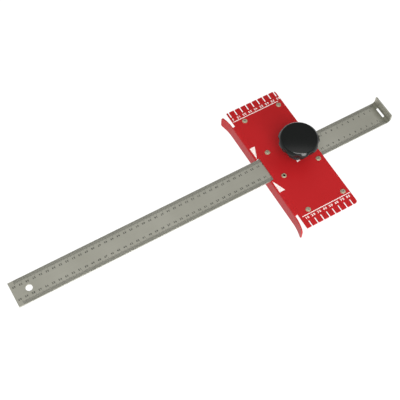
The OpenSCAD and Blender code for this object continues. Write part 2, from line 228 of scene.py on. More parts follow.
def glidePlastic(add, place):
    # moulded sliding plastic: dark warm grey, waxy, rubbed in fine lines along the sliding way
    along = add("Mapping", {"Scale": (0.05, 1.0, 1.0)}, {"Vector": place})
    rub = add("TexNoise", {"Scale": perMetre(1.5), "Detail": 3.0}, {"Vector": along})
    grain = add("TexNoise", {"Scale": perMetre(0.8), "Detail": 2.0}, {"Vector": place})
    tint = add("Mix", {"data_type": "RGBA", fromColour: linear("#262628"), toColour: linear("#38383A")}, {mixBy: rub})
    gloss = add("MapRange", {"To Min": 0.42, "To Max": 0.6}, {"Value": rub})
    relief = add("Bump", {"Strength": 0.1, "Distance": 0.05 * mm}, {"Height": grain})
    return {"IOR": 1.5}, {"Base Color": tint.outputs[colourOut], "Roughness": gloss, "Normal": relief}


enamel = mixMaterial("redEnamelOnSteel", redEnamel)
steel = mixMaterial("satinStainless", satinSteel)
etch = mixMaterial("blackEtchFill", etchedInk)
ink = mixMaterial("whiteScreenInk", whiteInk)
black = mixMaterial("blackMouldedPlastic", knobPlastic)
aluminium = mixMaterial("plainAluminium", rivetAluminium)
brass = mixMaterial("turnedBrass", turnedBrass)
sliding = mixMaterial("darkSlidingPlastic", glidePlastic)
zinc = mixMaterial("zincPlatedSteel", zincSteel, "#A9AEB2", "#C6CACC", 0.28, 0.45)
shadedZinc = mixMaterial("shadedZincPlate", zincSteel, "#4E5052", "#636567", 0.5, 0.67)  # painted shade: a darker copy of the zinc for the boss that sits in the knob's shade; rougher too
print("materials mixed")

# mesh tools

# how many points a rounded corner has at least and for each millimetre of radius, a softened edge, a quarter circle
fine = {"cornerLeast": 5, "cornerMore": 1.5, "edge": 4, "quarter": 6}


def unit(way):
    # each direction over its own length
    return way / np.linalg.norm(way, axis=-1, keepdims=True)


def gridFaces(rows, columns, ringed=False):
    # quads between neighbouring rows; columns run right round, and rows too if ringed
    row, column = np.meshgrid(np.arange(rows if ringed else rows - 1), np.arange(columns), indexing="ij")
    up, along = (row + 1) % rows, (column + 1) % columns
    return np.stack([row * columns + column, row * columns + along,
                     up * columns + along, up * columns + column], -1).reshape(-1, 4)


def makePiece(name, points, faceSets, material, body, replaces=(), sharp=None, marks=None):
    # drops unused points, fills the mesh in one go and lets the piece ride on its body
    # edges of more than sharp degrees stay crisp, and marks are what a material reads as its mask
    corners = np.concatenate([faces.ravel() for faces in faceSets])
    used, corners = np.unique(corners, return_inverse=True)
    sizes = np.concatenate([np.full(len(faces), faces.shape[1]) for faces in faceSets])
    mesh = bpy.data.meshes.new(name)
    mesh.vertices.add(len(used))
    mesh.vertices.foreach_set("co", (points[used] * mm).astype(np.float32).ravel())
    mesh.loops.add(len(corners))
    mesh.loops.foreach_set("vertex_index", corners.ravel().astype(np.int32))
    mesh.polygons.add(len(sizes))
    mesh.polygons.foreach_set("loop_start", (np.cumsum(sizes) - sizes).astype(np.int32))
    mesh.polygons.foreach_set("use_smooth", np.ones(len(sizes), dtype=bool))
    mesh.update(calc_edges=True)
    if marks is not None:
        mesh.attributes.new("mask", "FLOAT", "POINT").data.foreach_set("value", marks[used].astype(np.float32))
    mesh.validate()
    if sharp is not None:
        mesh.set_sharp_from_angle(angle=np.radians(sharp))
    mesh.materials.append(material)
    piece = bpy.data.objects.new(name, mesh)
    scene.collection.objects.link(piece)
    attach(piece, body)
    if replaces:
        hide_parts(*replaces)
    return piece


def roundedLoop(corners):
    # each corner (x, y, radius) becomes an arc that touches both its sides; radius 0 keeps the point
    spots = np.array([corner[:2] for corner in corners], float)
    toLast, toNext = unit(np.roll(spots, 1, 0) - spots), unit(np.roll(spots, -1, 0) - spots)
    runs = []
    for spot, a, b, radius in zip(spots, toLast, toNext, [corner[2] for corner in corners]):
        if radius == 0:
            runs.append(spot[None])
            continue
        half = np.arccos(np.clip(a @ b, -1, 1)) / 2
        centre = spot + unit(a + b) * radius / np.sin(half)
        start = spot + a * radius / np.tan(half) - centre
        count = fine["cornerLeast"] + int(radius * fine["cornerMore"])
        turn = np.linspace(0, (2 * half - np.pi) * np.sign(a[0] * b[1] - a[1] * b[0]), count)
        runs.append(centre + np.stack([start[0] * np.cos(turn) - start[1] * np.sin(turn),
                                       start[0] * np.sin(turn) + start[1] * np.cos(turn)], 1))
    return np.vstack(runs)


def splitLong(loop, step):
    # sides longer than the step are cut into equal lengths
    ahead = np.roll(loop, -1, 0) - loop
    count = np.maximum(1, np.ceil(np.linalg.norm(ahead, axis=1) / step)).astype(int)
    owner = np.repeat(np.arange(len(loop)), count)
    part = np.arange(len(owner)) - np.repeat(np.cumsum(count) - count, count)
    return loop[owner] + ahead[owner] * (part / count[owner])[:, None]


def boxLoop(left, right, half, leftRound, rightRound, step, hole=False):
    # a rectangle with rounded corners, anticlockwise, or clockwise for a hole
    corners = [(left, -half, leftRound), (right, -half, rightRound), (right, half, rightRound), (left, half, leftRound)]
    return splitLong(roundedLoop(corners[:1] + corners[:0:-1] if hole else corners), step)


def holeLoop(x, y, radius, count=40):
    # clockwise, so that the metal lies on its left
    turn = -np.linspace(0, 2 * np.pi, count, endpoint=False)
    return np.stack([x + radius * np.cos(turn), y + radius * np.sin(turn)], 1)


def quarterArc(spot, radius, start, way=1):
    # a quarter circle about a spot, from its start in degrees, anticlockwise or with way -1 clockwise
    turn = np.radians(start) + way * np.linspace(0, np.pi / 2, fine["quarter"])
    return np.column_stack([spot[0] + radius * np.cos(turn), spot[1] + radius * np.sin(turn)])


def netPoints(rows, along):
    # every crossing of two sets of lines, as flat points
    return np.stack(np.meshgrid(rows, along, indexing="ij"), -1).reshape(-1, 2)


def bothWays(reach, step):
    # even steps from minus the reach up to the reach itself
    return np.arange(-reach, reach + step / 20, step)


def clearOf(net, spots, gap):
    # only the points that keep the gap from every spot
    return net[np.all([np.hypot(*(net - np.array(spot)).T) > gap for spot in spots], axis=0)]


def softEdge(thick, radius, margin):
    # from the lower face round the edge to the upper face, as inset and height; a margin adds a flat ring inside
    turn = np.linspace(0, np.pi / 2, fine["edge"])
    low = np.stack([radius * (1 - np.sin(turn)), radius * (1 - np.cos(turn))], 1)
    high = np.stack([radius * (1 - np.cos(turn)), thick - radius + radius * np.sin(turn)], 1)
    ends = ([[radius + margin, 0]], [[radius + margin, thick]]) if margin else (low[:0], low[:0])
    return np.vstack([ends[0], low, high, ends[1]])


def fillFlat(loops, inner):
    # constrained Delaunay triangles of the flat area inside the first loop and outside the others
    points = np.vstack([*loops, inner])
    starts = np.cumsum([0] + [len(loop) for loop in loops[:-1]])
    rings = [start + np.arange(len(loop)) for start, loop in zip(starts, loops)]
    sides = np.vstack([np.stack([ring, np.roll(ring, -1)], 1) for ring in rings])
    spots, allTriangles, tolerance = [Vector(point) for point in points.tolist()], 0, 1e-6
    corners = np.array(delaunay_2d_cdt(spots, sides.tolist(), [], allTriangles, tolerance)[2])
    a, b, c = points[corners[:, 0]], points[corners[:, 1]], points[corners[:, 2]]
    # a triangle stays if a line from its middle crosses the loops an odd number of times
    middle, p, q = ((a + b + c) / 3)[:, None], points[sides[:, 0]][None], points[sides[:, 1]][None]
    spans = (p[..., 1] > middle[..., 1]) != (q[..., 1] > middle[..., 1])
    lean = (q[..., 0] - p[..., 0]) / np.where(spans, q[..., 1] - p[..., 1], 1)
    kept = (spans & (middle[..., 0] < p[..., 0] + (middle[..., 1] - p[..., 1]) * lean)).sum(1) % 2 == 1
    area = (b[:, 0] - a[:, 0]) * (c[:, 1] - a[:, 1]) - (b[:, 1] - a[:, 1]) * (c[:, 0] - a[:, 0])
    return np.where((area < 0)[:, None], corners[:, ::-1], corners)[kept]


def sheetForm(loops, profiles, inner):
    # every loop carries its edge profile round; its mitre keeps the inset even at corners
    # gives back points, faces and wear, which is 1 at the very edge and 0 on the flat
    points, quads, wear, lowRing, highRing, base = [], [], [], [], [], 0
    for loop, profile in zip(loops, profiles):
        before = unit(loop - np.roll(loop, 1, 0))
        after = np.roll(before, -1, 0)
        leftA, leftB = np.stack([-before[:, 1], before[:, 0]], 1), np.stack([-after[:, 1], after[:, 0]], 1)
        mitre = (leftA + leftB) / (1 + (leftA * leftB).sum(1))[:, None]
        rings = loop[None] + profile[:, None, :1] * mitre[None]
        height = np.broadcast_to(profile[:, None, 1:], rings.shape[:2] + (1,))
        points.append(np.concatenate([rings, height], 2).reshape(-1, 3))
        wear.append(np.repeat(1 - profile[:, 0] / profile[0, 0], len(loop)))
        quads.append(base + gridFaces(len(profile), len(loop)))
        lowRing.append(base + np.arange(len(loop)))
        highRing.append(base + (len(profile) - 1) * len(loop) + np.arange(len(loop)))
        base += len(profile) * len(loop)
    count = len(inner)
    low = np.column_stack([inner, np.full(count, profiles[0][0, 1])])
    high = np.column_stack([inner, np.full(count, profiles[0][-1, 1])])
    points = np.vstack([*points, low, high])
    lowIndex = np.concatenate([*lowRing, base + np.arange(count)])
    highIndex = np.concatenate([*highRing, base + count + np.arange(count)])
    under = lowIndex[fillFlat([points[ring, :2] for ring in lowRing], inner)][:, ::-1]
    over = highIndex[fillFlat([points[ring, :2] for ring in highRing], inner)]
    return points, [np.vstack(quads), under, over], np.concatenate([*wear, np.zeros(2 * count)])


def latheForm(profile, spots, columns, ringed=False):
    # a profile of radius and height turned about an upright line at each spot
    turn = np.linspace(0, 2 * np.pi, columns, endpoint=False)
    flat = profile[:, None, :1] * np.stack([np.cos(turn), np.sin(turn)], 1)[None]
    height = np.broadcast_to(profile[:, None, 1:], flat.shape[:2] + (1,))
    one = np.concatenate([flat, height], 2).reshape(-1, 3)
    spots = np.column_stack([np.array(spots, float), np.zeros(len(spots))])
    faces = gridFaces(len(profile), columns, ringed)
    points = (spots[:, None] + one[None]).reshape(-1, 3)
    return points, [(np.arange(len(spots))[:, None, None] * len(one) + faces[None]).reshape(-1, 4)]


def clampRings(radius, height, turn):
    # rings about the clamp's axis: a radius for each height and angle
    return np.stack([clampX + radius * np.cos(turn), radius * np.sin(turn),
                     np.repeat(height[:, None], len(turn), 1)], -1).reshape(-1, 3)


def closePoles(piece):
    # points that fall together at the axis become one
    work = bmesh.new()
    work.from_mesh(piece.data)
    bmesh.ops.remove_doubles(work, verts=work.verts, dist=1e-7)
    work.to_mesh(piece.data)
    work.free()
    return piece


def evenShading(piece):
    # broad flat faces rule the normals, so rounded edges don't smear over them
    piece.modifiers.new("evenShading", "WEIGHTED_NORMAL").weight = 90
    return piece


# folded head: plate, fence and two free ends cut from one blank

head = {"width": 89.0, "length": 224, "thick": 2.0, "corner": 4.0, "edge": 0.3, "foldRadius": 2.5,
        "freeFrom": 86.0, "endInset": 2.4, "insetCorner": 0.6, "flare": 4.5, "flareCorner": 4.0,
        "notchWide": 2.0, "notchLong": 10.0, "notchMouth": 0.4, "notchEnd": 0.98,  # how round its closed end is
        "farNotches": range(85, 0, -10), "nearNotches": range(10, 81, 10),
        "window": (4.0, 20.6, 3.6), "windowCorner": 0.6,  # right side, half width, lower side
        "rivetHole": 2.05, "clampHole": 5.1, "holeEdge": 0.15}
head["foldMid"] = head["foldRadius"] + head["thick"] / 2
head["fenceStart"] = head["foldRadius"] - head["foldMid"] * np.pi / 2  # where the fold ends on the flat blank
head["fenceTop"] = levels["plateBase"] - head["foldRadius"]
head["freeLong"] = head["length"] / 2 - head["freeFrom"]
head["flareRadius"] = (head["freeLong"] ** 2 + head["flare"] ** 2) / (2 * head["flare"])
head["freeArc"] = head["flareRadius"] * np.arcsin(head["freeLong"] / head["flareRadius"])
# longest sides of the outlines, points of the rivets' holes, lines of the net and the room it leaves
headNet = {"outline": 3.0, "window": 0.7, "hole": 32, "foldRows": 11, "foldAlong": (84, 2.0), "windowRoom": 1.5,
           "fenceRows": (-22, -5, 5), "fenceAlong": (106, 2.0), "plateRows": (8, 85, 9.5), "plateAlong": (96, 8.0),
           "holeRoom": 7}


def foldHead(flat):
    # the blank turns a quarter circle down at the fold, and the fence's free ends curl outwards on a wide arc
    u, v, w = flat[:, 0], flat[:, 1], flat[:, 2]
    r, far, wide = head["foldRadius"], head["freeFrom"], head["flareRadius"]
    onFence = u < head["fenceStart"] / 2
    turned = (np.abs(v) <= far + 1e-6) | onFence  # the cut's own edge folds too
    bend = np.where(turned, np.clip((r - u) / head["foldMid"], 0, np.pi / 2), 0)
    drop = np.clip(head["fenceStart"] - u, 0, None)
    x = np.where(bend > 0, r - (r + w) * np.sin(bend), u)
    z = np.where(bend > 0, head["fenceTop"] + (r + w) * np.cos(bend) - drop, levels["plateBase"] + w)
    curl = np.where(onFence, np.clip(np.abs(v) - far, 0, None) / wide, 0)
    x = np.where(curl > 0, (wide - w) * np.cos(curl) - wide, x)
    y = np.where(curl > 0, np.sign(v) * (far + (wide - w) * np.sin(curl)), v)
    return np.column_stack([x, y, z])


def headBlank():
    # outline of the blank, anticlockwise from the near right corner; a notch marks with the edge nearer the fence
    half, wide, corner, slot = head["length"] / 2, head["width"], head["corner"], head["notchWide"]
    deep, inset, free, fence = half - head["notchLong"], head["endInset"], head["freeFrom"], head["fenceStart"]
    foot = fence - (head["fenceTop"] - levels["fenceFoot"])
    tip = free + head["freeArc"]
    mouth, end = head["notchMouth"], slot / 2 * head["notchEnd"]
    flare, soft = head["flareCorner"], head["insetCorner"]
    last = head["farNotches"][0] + slot  # the last notch opens in the rounded corner
    parts = np.append(np.linspace(0, 0.8, 8), 1)  # even steps round the corner, then one to the notch
    turn = np.arccos((last - wide + corner) / corner) * parts
    outline = [(wide, -half, corner)]
    outline += [(wide - corner + corner * np.cos(a), half - corner + corner * np.sin(a), 0) for a in turn]
    for c in head["farNotches"]:
        opening = [] if c + slot == last else [(c + slot, half, mouth)]
        outline += opening + [(c + slot, deep, end), (c, deep, end), (c, half, mouth)]
    outline += [(inset, half, soft), (inset, free, 0), (fence, free, 0), (fence, tip, flare), (foot, tip, flare)]
    outline += [(foot, -tip, flare), (fence, -tip, flare), (fence, -free, 0), (inset, -free, 0), (inset, -half, soft)]
    for c in head["nearNotches"]:
        outline += [(c, -half, mouth), (c, -deep, end), (c + slot, -deep, end), (c + slot, -half, mouth)]
    return splitLong(roundedLoop(outline), headNet["outline"])


def makeHead():
    # the blank and its holes as one sheet, then folded; its net has rows across the fold
    right, across, low = head["window"]
    left = head["fenceStart"] - (head["fenceTop"] - low)
    window = boxLoop(left, right, across, head["windowCorner"], head["windowCorner"], headNet["window"], hole=True)
    holes = [holeLoop(x, y, head["rivetHole"], headNet["hole"]) for x, y in allRivets]
    holes += [holeLoop(clampX, 0, head["clampHole"])]
    edge, tight = softEdge(head["thick"], head["edge"], 0), softEdge(head["thick"], head["holeEdge"], 0)
    profiles = [edge, edge] + [tight] * len(holes)
    fold = head["foldRadius"] - head["foldMid"] * np.linspace(0, np.pi / 2, headNet["foldRows"])
    foldNet = netPoints(fold, bothWays(*headNet["foldAlong"]))
    foldNet = foldNet[np.abs(foldNet[:, 1]) > across + headNet["windowRoom"]]
    fenceNet = netPoints(np.linspace(*headNet["fenceRows"]), bothWays(*headNet["fenceAlong"]))
    plateNet = netPoints(np.arange(*headNet["plateRows"]), bothWays(*headNet["plateAlong"]))
    plateNet = clearOf(plateNet, allRivets + [(clampX, 0)], headNet["holeRoom"])
    inner = np.vstack([foldNet, fenceNet, plateNet])
    points, faces, wear = sheetForm([headBlank(), window] + holes, profiles, inner)
    return evenShading(makePiece("foldedHead", foldHead(points), faces, enamel, "head", ["fence_plate"],
                                 marks=wear))


makeHead()
print("head folded")

# rule: one strip with a turned-up tab, a blade slot and a hanging hole

rule = {"left": -400.0, "wide": 40.0, "thick": 2.0, "edge": 0.25, "margin": 0.3, "endCorner": 0.6,
        "bendX": 206.0, "bendRadius": 5.0, "tabHigh": 14.0, "tabCorner": 1.0,
        "slot": (206.4, 209.86, 9.0), "slotCorner": 1.4,  # left side, right side, half width
        "hang": (-376.5, 5.0), "zero": 208.0, "last": 600,
        "paintedBendShade": (1, 3, 2)}  # painted shade on the bend: begins before the bend, stops before its end, and fades over
rule["bendMid"] = rule["bendRadius"] + rule["thick"] / 2
rule["wallStart"] = rule["bendX"] + rule["bendMid"] * np.pi / 2
rule["end"] = rule["wallStart"] + rule["tabHigh"] - rule["bendRadius"]
ruleNet = {"outline": 2.5, "slot": 0.8, "hole": 48, "bendRows": 13, "bendAlong": (18, 1.5), "slotRoom": 0.9,
           "flatRows": (-396, 204, 8.0), "flatAlong": (14, 7.0), "holeRoom": 7}


def foldRule(flat):
    # the strip turns a quarter circle up at its tab, and then stands straight
    u, v, w = flat[:, 0], flat[:, 1], flat[:, 2]
    bend = np.clip((u - rule["bendX"]) / rule["bendMid"], 0, np.pi / 2)
    rise = np.clip(u - rule["wallStart"], 0, None)
    reach = rule["bendRadius"] + rule["thick"] - w
    x = np.where(bend > 0, rule["bendX"] + reach * np.sin(bend), u)
    bent = levels["ruleTop"] + rule["bendRadius"] - reach * np.cos(bend) + rise
    return np.column_stack([x, v, np.where(bend > 0, bent, levels["ruleBase"] + w)])


def makeRule():
    # the strip and its holes as one sheet, then bent; its net has rows across the bend
    left, right, half = rule["slot"]
    hangX, hangRadius = rule["hang"]
    outline = boxLoop(rule["left"], rule["end"], rule["wide"] / 2, rule["endCorner"], rule["tabCorner"],
                      ruleNet["outline"])
    slot = boxLoop(left, right, half, rule["slotCorner"], rule["slotCorner"], ruleNet["slot"], hole=True)
    edge = softEdge(rule["thick"], rule["edge"], rule["margin"])
    bendNet = netPoints(np.linspace(rule["bendX"], rule["wallStart"], ruleNet["bendRows"]),
                        bothWays(*ruleNet["bendAlong"]))
    x, y, room = bendNet[:, 0], bendNet[:, 1], ruleNet["slotRoom"]
    inSlot = (np.abs(y) < half + room) & (x > left - room) & (x < right + room)
    flatNet = netPoints(np.arange(*ruleNet["flatRows"]), bothWays(*ruleNet["flatAlong"]))
    inner = np.vstack([bendNet[~inSlot], clearOf(flatNet, [(hangX, 0)], ruleNet["holeRoom"])])
    loops = [outline, slot, holeLoop(hangX, 0, hangRadius, ruleNet["hole"])]
    points, faces, _ = sheetForm(loops, [edge] * len(loops), inner)
    # painted shade on the bend, fading out at either side
    before, short, fade = rule["paintedBendShade"]
    start, stop = rule["bendX"] - before, rule["wallStart"] - short
    paintedBendShade = np.clip(np.minimum(points[:, 0] - start, stop - points[:, 0]) / fade + 1, 0, 1)
    return evenShading(makePiece("ruleStrip", foldRule(points), faces, steel, "rule", ["rule"],
                                 marks=paintedBendShade))


makeRule()
print("rule bent")

# marks: etched scale on the rule, white print on the head

digits = {"bold": 0.04, "pitch": 0.86, "curveSteps": 2}


def digitShapes():
    # the ten digits as flat triangles, one unit high and centred
    shapes = {}
    for digit in "0123456789":
        letters = bpy.data.curves.new("digit", "FONT")
        letters.body = digit
        letters.resolution_u = digits["curveSteps"]
        letters.offset = digits["bold"]
        holder = bpy.data.objects.new("digit", letters)
        scene.collection.objects.link(holder)
        flat = holder.to_mesh()
        flat.calc_loop_triangles()
        spots = np.zeros(len(flat.vertices) * 3)
        corners = np.zeros(len(flat.loop_triangles) * 3, dtype=np.int32)
        flat.vertices.foreach_get("co", spots)
        flat.loop_triangles.foreach_get("vertices", corners)
        spots, corners = spots.reshape(-1, 3)[:, :2], corners.reshape(-1, 3)
        low, high = spots.min(0), spots.max(0)
        shapes[digit] = ((spots - (low + high) / 2) / (high[1] - low[1]), corners)
        holder.to_mesh_clear()
        bpy.data.objects.remove(holder)
        bpy.data.curves.remove(letters)
    return shapes


def writeNumbers(shapes, labels, high, level):
    # labels are (number, x, y, way), where way is 1 upright and -1 turned half round
    points, faces, base = [], [], 0
    for number, x, y, way in labels:
        text = str(number)
        for place, digit in enumerate(text):
            spots, corners = shapes[digit]
            shift = (place - (len(text) - 1) / 2) * digits["pitch"] * high
            points.append(np.column_stack([x + way * (spots[:, 0] * high + shift), y + way * spots[:, 1] * high,
                                           np.full(len(spots), level)]))
            faces.append(base + corners)
            base += len(spots)
    return np.vstack(points), np.vstack(faces)


def barForm(x0, x1, y0, y1, level):
    # flat bars with the given sides, one for each entry
    corners = np.stack([x0, y0, x1, y0, x1, y1, x0, y1], 1).reshape(-1, 2)
    return np.column_stack([corners, np.full(len(corners), level)]), np.arange(len(corners)).reshape(-1, 4)


scale = {"first": 3, "edge": 19.85, "short": 5.3, "middle": 6.1, "long": 7.0, "line": 0.38,
         "row": 10.0, "high": 3.1, "beside": 2.5, "lift": 0.02}
shapes = digitShapes()


def makeScale():
    # a mark each millimetre on both edges, counted from the blade slot, with a number beside each tenth
    n = np.arange(scale["first"], rule["last"] + 1)
    x = rule["zero"] - n
    long = np.where(n % 10 == 0, scale["long"], np.where(n % 5 == 0, scale["middle"], scale["short"]))
    level = levels["ruleTop"] + scale["lift"]
    half = scale["line"] / 2
    inner = np.full(len(n), scale["edge"])
    far, farFaces = barForm(x - half, x + half, inner - long, inner, level)
    near, nearFaces = barForm(x - half, x + half, -inner, long - inner, level)
    labels = [(c, rule["zero"] - 10 * c - scale["beside"], way * -scale["row"], way)
              for c in range(1, rule["last"] // 10 + 1) for way in (1, -1)]
    numbers, numberFaces = writeNumbers(shapes, labels, scale["high"], level)
    faces = [farFaces, len(far) + nearFaces, len(far) + len(near) + numberFaces]
    return makePiece("ruleScale", np.vstack([far, near, numbers]), faces, etch, "rule")


makeScale()

printed = {"lift": 0.03, "labelRow": 97.5, "high": 3.9, "beside": (0.8, 1.6),
           "line": 93.2, "lineWide": 1.2, "farLine": (3.9, 83.0), "nearLine": (6.3, 87.8),
           "pointers": [((0.9, 41.0), (9.0, 41.0), (0.9, 21.3)), ((0.4, -43.5), (8.5, -43.5), (0.4, -23.0)),
                        ((50.2, -8.0), (55.5, -12.0), (49.4, -13.2))],
           "pointerSteps": 14, "pointerTip": 0.98}  # a pointer stops just short of its tip


def wedgeForm(corners):
    # a triangle as a grid: along its base by one parameter, towards its tip by the other
    a, b, tip = [np.array(corner) for corner in corners]
    steps = printed["pointerSteps"]
    s, t = np.meshgrid(np.linspace(0, 1, steps), np.linspace(0, printed["pointerTip"], steps), indexing="ij")
    flat = (a + (b - a) * s[..., None]) * (1 - t[..., None]) + tip * t[..., None]
    row, column = np.meshgrid(np.arange(steps - 1), np.arange(steps - 1), indexing="ij")
    first = row * steps + column
    quads = np.stack([first, first + steps, first + steps + 1, first + 1], -1).reshape(-1, 4)
    (baseX, baseY), (sideX, sideY) = b - a, tip - a
    return flat.reshape(-1, 2), quads if baseX * sideY > baseY * sideX else quads[:, ::-1]


def makePrint():
    # two lines, a number beside each notch, and pointers that follow the plate round its fold
    level = levels["plateTop"] + printed["lift"]
    half = printed["lineWide"] / 2
    (farA, farB), (nearA, nearB), y = printed["farLine"], printed["nearLine"], printed["line"]
    bars, barFaces = barForm(np.array([farA, nearA]), np.array([farB, nearB]),
                             np.array([y - half, -y - half]), np.array([y + half, -y + half]), level)
    farSide, nearSide = printed["beside"]
    labels = [(c, c + farSide, printed["labelRow"], -1) for c in head["farNotches"]]
    labels += [(c, c + nearSide, -printed["labelRow"], 1) for c in head["nearNotches"]]
    numbers, numberFaces = writeNumbers(shapes, labels, printed["high"], level)
    points, faces = [bars, numbers], [barFaces, len(bars) + numberFaces]
    for corners in printed["pointers"]:
        flat, quads = wedgeForm(corners)
        faces.append(sum(len(p) for p in points) + quads)
        points.append(foldHead(np.column_stack([flat, np.full(len(flat), head["thick"] + printed["lift"])])))
    return makePiece("whitePrint", np.vstack(points), faces, ink, "head")


makePrint()
print("scale etched and head printed")

# rivets and their broken-off pins; profiles are radius and height

rivet = {"bore": 1.1, "openBore": 1.7, "shank": 2.0, "head": 4.0, "high": 1.4, "columns": 40,
         "tail": [(2.8, 0.9), (3.1, 1.05), (3.2, 1.4), (3.15, 1.9), (2.9, 2.2)],
         "tailDish": 0.02, "brim": [(3.85, 0), (4.0, 0.1)],
         "domeFrom": 0.18, "domePower": 0.8, "domeRows": 9, "reach": 0.62, "openReach": 0.47,
         "mouth": [(0.3, 1.34), (0.1, 1.2), (0, 0.95), (0, 0)]}  # outside the bore, above the plate
pin = {"profile": [(0, 0.2), (1.9, 0.2), (2.1, 0.4), (2.1, 0.75), (1.95, 0.9), (1.05, 0.92), (1.05, 8.75),
                   (0.98, 8.95), (0.7, 9.02), (0.45, 8.96), (0.25, 9.1), (0, 9.08)],
       "columns": 24, "torn": (8.9, 9.07), "ragged": 0.06, "teeth": 3}


def rivetProfile(bore, reach):
    # shank and tail below, a domed head on the plate, and a bore with a dished mouth
    top, start, shank = levels["plateTop"], rivet["domeFrom"], rivet["shank"]
    tail, brim, mouth = np.array(rivet["tail"]), np.array(rivet["brim"]), np.array(rivet["mouth"])
    part = np.linspace(0, 1, rivet["domeRows"])
    rise = (rivet["high"] - start) * np.sin(part * np.pi / 2) ** rivet["domePower"]
    dome = np.column_stack([rivet["head"] * (1 - part * reach), top + start + rise])
    stem = [[shank, tail[-1, 1] + rivet["tailDish"]], [shank, top]]
    return np.vstack([[[bore, tail[0, 1]]], tail, stem, brim + [0, top], dome, mouth + [bore, top]])


def makeRivets():
    # the open rivet has a wider bore and a narrower dome than the others
    columns = rivet["columns"]
    shut, wide = rivetProfile(rivet["bore"], rivet["reach"]), rivetProfile(rivet["openBore"], rivet["openReach"])
    row = np.arange(len(shut))
    boreShade = np.repeat((row >= len(shut) - 2) | (row == 0), columns)  # the bore's own rows, painted dark as shade
    for kind, spots in rivetSpots.items():
        closed = [spot for spot in spots if spot != openRivet]
        points, faces = latheForm(shut, closed, columns, ringed=True)
        if len(closed) < len(spots):
            morePoints, moreFaces = latheForm(wide, [openRivet], columns, ringed=True)
            faces = [np.vstack([faces[0], len(points) + moreFaces[0]])]
            points = np.vstack([points, morePoints])
        makePiece(kind + "RivetSet", points, faces, aluminium, "head", [kind + "_rivets"],
                  sharp=40, marks=np.tile(boreShade, len(spots)))


def makePins():
    # a pin breaks off in a ragged cone just below the head's top
    spots = [spot for spot in allRivets if spot != openRivet]
    points, faces = latheForm(np.array(pin["profile"]), spots, pin["columns"])
    out = points[:, :2] - np.repeat(np.array(spots, float), len(points) // len(spots), 0)
    turn, z, (low, high) = np.arctan2(out[:, 1], out[:, 0]), points[:, 2], pin["torn"]
    ragged = pin["ragged"] * np.sin(pin["teeth"] * turn + points[:, 0])
    points[:, 2] = z + np.where((z > low) & (z < high), ragged, 0)
    closePoles(makePiece("tornPins", points, faces, zinc, "head", ["rivet_pins"], sharp=40))


makeRivets()
makePins()
print("rivets set")

# clamp: boss, screw and knob

# radius and height above the plate: the foot, the centre and radius of its fillet, then the neck and the pad's room
boss = {"foot": [(5.1, 0), (10.7, 0), (11.0, 0.3), (11.0, 2.5), (10.5, 3.0)], "fillet": ((8.6, 4.1), 1.1),
        "neck": [(7.5, 10.3), (6.8, 11.0), (4.7, 11.0), (4.08, 10.4), (4.05, 4.3), (5.1, 4.05)], "columns": 72}


def makeBoss():
    # turned boss: broad foot, fillet, neck, chamfered mouth, and the pad's room below the thread
    profile = np.vstack([boss["foot"], quarterArc(*boss["fillet"], -90, -1), boss["neck"]]) + [0, levels["plateTop"]]
    points, faces = latheForm(profile, [(clampX, 0)], boss["columns"], ringed=True)
    # the boss takes the darker zinc, painted shade under the knob
    makePiece("turnedBoss", points, faces, shadedZinc, "head", ["clamp_boss"], sharp=35)


screw = {"radius": 4.0, "pitch": 1.25, "deep": 0.68, "flank": (1.25, 3.0), "tip": 2.5, "chamfer": 0.2, "neck": 3.3,
         "foot": 7.85, "shoulder": 9.85, "runIn": 0.4, "threadTop": 23.0, "runOut": 0.3, "top": 36.0,
         "columns": 48, "rows": 8}  # rows for each pitch


def makeScrew():
    # the thread is a ridge whose height goes up and down along the screw and shifts by one pitch a turn
    columns, tip, foot, radius = screw["columns"], screw["tip"], screw["foot"], screw["radius"]
    turn = np.linspace(0, 2 * np.pi, columns, endpoint=False)
    z = np.arange(screw["shoulder"] + screw["runIn"], screw["threadTop"], screw["pitch"] / screw["rows"])
    phase = (z[:, None] / screw["pitch"] - turn[None] / (2 * np.pi)) % 1
    crest, slope = screw["flank"]
    ridge = np.clip(crest - np.abs(phase - 0.5) * slope, 0, 1)
    plain = np.array([[0, foot], [tip - screw["chamfer"], foot], [tip, foot + screw["chamfer"]],
                      [tip, screw["shoulder"]], [screw["neck"], screw["shoulder"]]])
    upper = np.array([[radius, screw["threadTop"] + screw["runOut"]], [radius, screw["top"]], [0, screw["top"]]])
    radii = np.vstack([np.repeat(plain[:, :1], columns, 1), radius - screw["deep"] * (1 - ridge),
                       np.repeat(upper[:, :1], columns, 1)])
    height = np.concatenate([plain[:, 1], z, upper[:, 1]])
    closePoles(makePiece("threadedScrew", clampRings(radii, height, turn), [gridFaces(len(height), columns)], zinc,
                         "knob", ["clamp_screw"], sharp=35))


knob = {"skirt": 30.5, "skirtRadius": 24.0, "footRound": 0.8, "rim": 46.9, "rimRadius": 30.25, "crown": 53.0,
        "bevel": (4.2, 5.4), "bevelPower": 1.6, "bevelTurn": 1.45,  # depth and height; a turn of pi / 2 ends flat
        "lobes": 9, "firstLobe": 13.0, "fluteRadius": 12.0, "fluteSkirt": 2.8, "fluteRim": 1.7, "soften": 1.0,
        "mattFade": 2, "columns": 288, "sideRows": 14, "bevelRows": 20, "crownRows": 18}
# radius and height inside the knob: the hub's bore, end and wall, the roof between its fillets, the skirt's mouth
hollow = {"bore": [(0, 30.0), (4.0, 30.0), (4.0, 22.4), (4.4, 22.0), (9.3, 22.0)], "hubEdge": ((9.3, 22.7), 0.7),
          "hubWall": (10.2, 36.0), "hubFillet": ((11.5, 43.3), 1.0), "skirtFillet": ((20.0, 42.9), 1.4),
          "mouth": [(18.25, 31.3), (18.3, 30.8), (18.5, 30.5)]}
rib = {"thick": 2.0, "edge": 0.4, "corner": 0.5, "corners": [(9.0, 33.5), (19.5, 33.5), (22.5, 44.9), (9.0, 44.9)],
       "net": [(12.0, 39.0), (16.0, 39.0), (19.0, 39.0)]}


